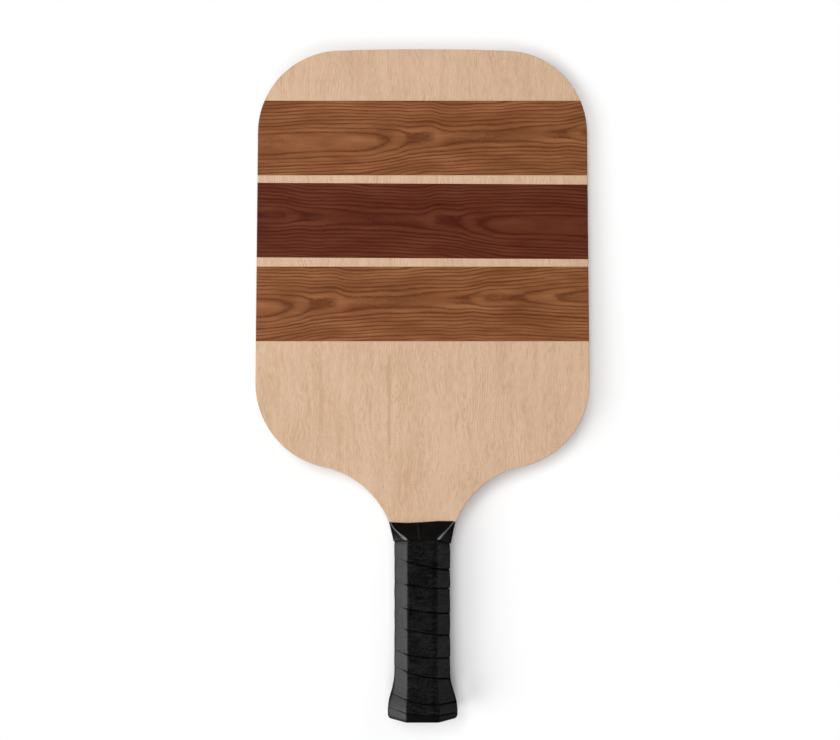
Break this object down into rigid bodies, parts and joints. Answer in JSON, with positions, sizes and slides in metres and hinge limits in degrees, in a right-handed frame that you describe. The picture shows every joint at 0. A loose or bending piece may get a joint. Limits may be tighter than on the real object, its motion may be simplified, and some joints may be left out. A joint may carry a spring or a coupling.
{
  "type": "pickleball paddle",
  "caption": "Wooden pickleball paddle: plywood blade with inlaid wood bands across the face, octagonal handle in a wound cushion grip, rubber collar and flared butt cap.",
  "frame": {"origin": "middle of the underside of the whole paddle's bounding box as it lies flat; the lowest surface is the back of the flared butt at z = 0, and the blade's middle plane is 18.6 mm above it", "axes": "+Y from the butt to the tip of the head, +Z out of the front hitting face, +X across the face to the right of someone looking down on it"},
  "size_m": [0.2032, 0.405, 0.0369],
  "materials": {
    "core_wood": "sanded and lacquered ply edges, alternating face and end grain",
    "maple": "pale fine-grained veneer, grain along the handle, satin lacquer",
    "walnut": "mid-brown figured veneer, grain across the face, satin lacquer",
    "mahogany": "dark red-brown figured veneer, grain across the face, satin lacquer",
    "handle_wood": "plain sawn hardwood, hidden under the grip",
    "cap_plastic": "black moulded plastic",
    "staple_steel": "flat-crown wire staples",
    "cushion_grip": "black synthetic leather strip on a thin foam backing, soft sheen",
    "finishing_tape": "black vinyl tape",
    "collar_rubber": "smooth black stretched rubber band"
  },
  "bodies": {
    "root": {"back_outer_ply": "core_wood", "back_inner_ply": "core_wood", "centre_ply": "core_wood", "front_inner_ply": "core_wood", "front_outer_ply": "core_wood", "front_tip_veneer": "maple", "front_upper_walnut_band": "walnut", "front_upper_pinstripe": "maple", "front_mahogany_band": "mahogany", "front_lower_pinstripe": "maple", "front_lower_walnut_band": "walnut", "front_throat_veneer": "maple", "back_tip_veneer": "maple", "back_upper_walnut_band": "walnut", "back_upper_pinstripe": "maple", "back_mahogany_band": "mahogany", "back_lower_pinstripe": "maple", "back_lower_walnut_band": "walnut", "back_throat_veneer": "maple", "front_handle_scale": "handle_wood", "back_handle_scale": "handle_wood", "butt_cap": "cap_plastic", "front_cap_staple": "staple_steel", "back_cap_staple": "staple_steel", "grip": "cushion_grip", "finishing_tape": "finishing_tape", "collar": "collar_rubber"}
  },
  "joints": []
}
